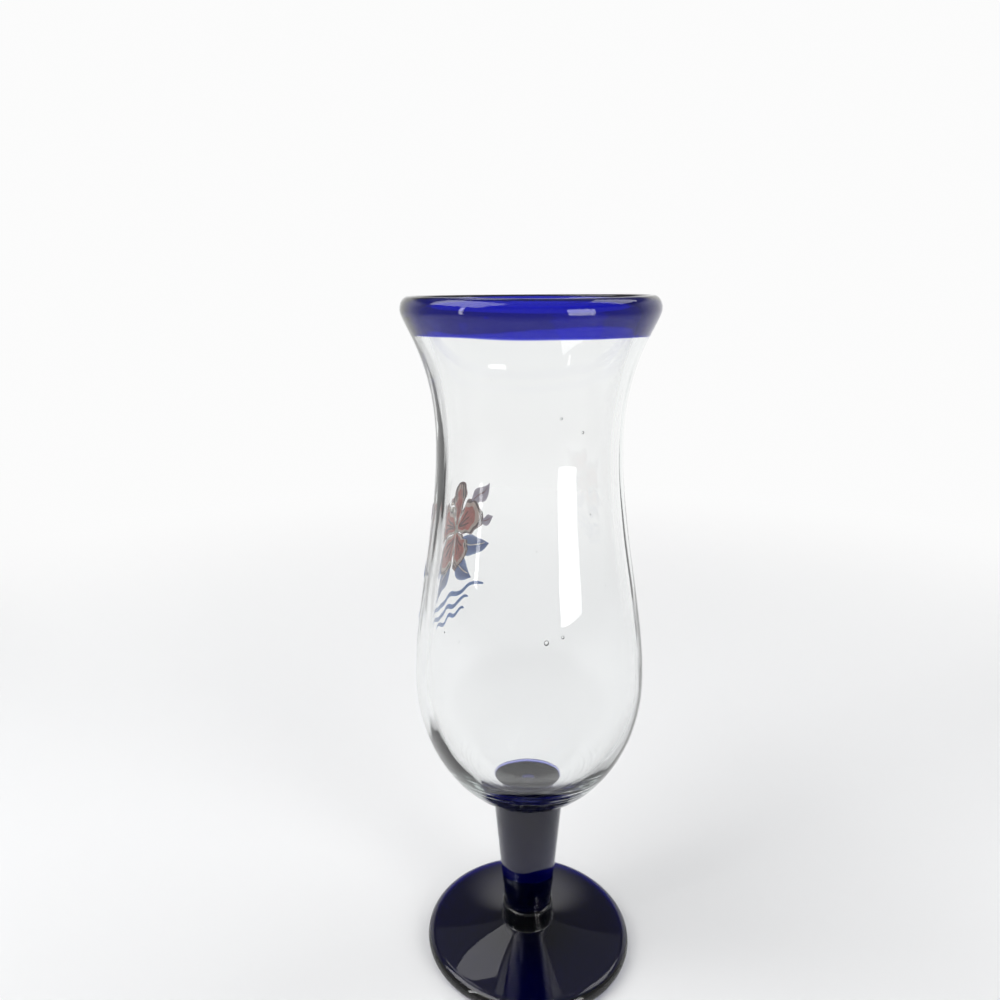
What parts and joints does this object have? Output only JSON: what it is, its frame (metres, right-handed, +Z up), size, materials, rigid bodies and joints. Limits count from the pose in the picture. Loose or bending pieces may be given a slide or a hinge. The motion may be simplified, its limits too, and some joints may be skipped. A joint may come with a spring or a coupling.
{
  "type": "hurricane glass",
  "caption": "Hand-blown hurricane cocktail glass: clear waisted bowl with a cobalt blue lip on a solid cobalt stem, collar and round foot.",
  "frame": {"origin": "centre of the flat ring under the foot, on the surface that the glass stands on", "axes": "+Z up along the turning axis, from the foot to the rim; +X and +Y lie in the standing plane"},
  "size_m": [0.0798, 0.0798, 0.235],
  "materials": {
    "clear_glass": "fire-polished, slightly wavy",
    "cobalt_glass": "fire-polished"
  },
  "bodies": {
    "root": {"foot": "cobalt_glass", "foot_collar": "cobalt_glass", "stem": "cobalt_glass", "bowl": "clear_glass", "rim_band": "cobalt_glass"}
  },
  "joints": []
}
